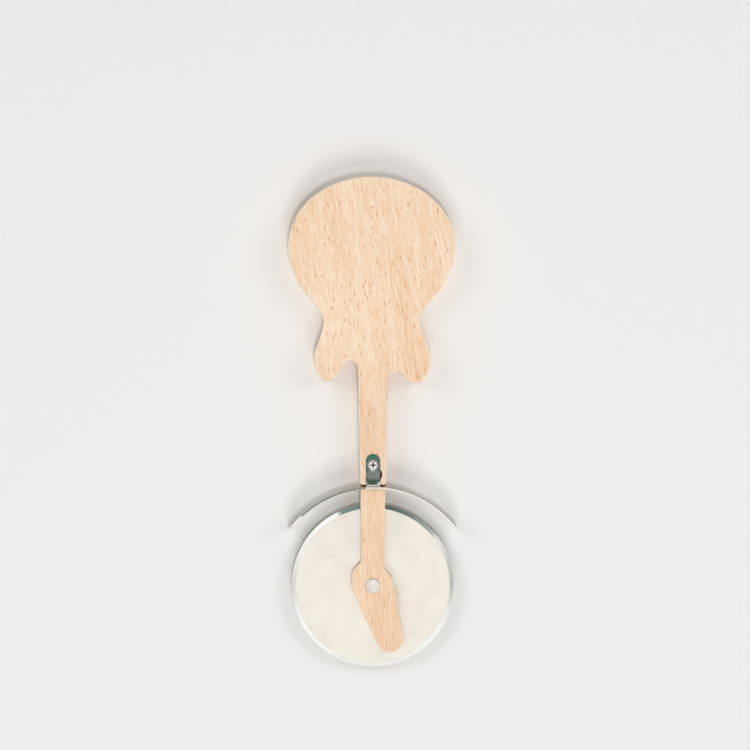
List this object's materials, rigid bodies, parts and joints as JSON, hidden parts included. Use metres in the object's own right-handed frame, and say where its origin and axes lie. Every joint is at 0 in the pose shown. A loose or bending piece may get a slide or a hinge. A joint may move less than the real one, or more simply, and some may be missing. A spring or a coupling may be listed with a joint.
{
  "type": "pizza cutter",
  "caption": "Pizza cutter: a steel wheel turning on a rivet in the forked end of a guitar-shaped beech handle, with a curved steel finger guard above the wheel.",
  "frame": {"origin": "centre of the cutter's outline, on the flat back of the handle", "axes": "+Y from the wheel to the guitar body, +Z out of the front face, along the wheel's axle, +X to the right seen from the front"},
  "size_m": [0.0834, 0.2414, 0.016],
  "materials": {
    "beech": "planed and sanded, clear matte oil",
    "guard_steel": "satin stainless sheet",
    "blade_steel": "satin stainless with a ground bevel",
    "screw_steel": "bright rolled and tumbled stainless",
    "rivet_steel": "matte stainless",
    "nylon": "natural nylon"
  },
  "bodies": {
    "handle": {"handle": "beech", "guard": "guard_steel", "guard_screw": "screw_steel", "guard_washer": "screw_steel", "spacer_front": "nylon", "spacer_back": "nylon", "rivet_front": "rivet_steel", "rivet_back": "rivet_steel"},
    "wheel": {"blade": "blade_steel"}
  },
  "joints": [
    {"name": "blade_spin", "type": "hinge", "parent": "handle", "child": "wheel", "pos_m": [0, -0.0807, 0.0075], "axis": [0, 0, 1], "continuous": true}
  ]
}
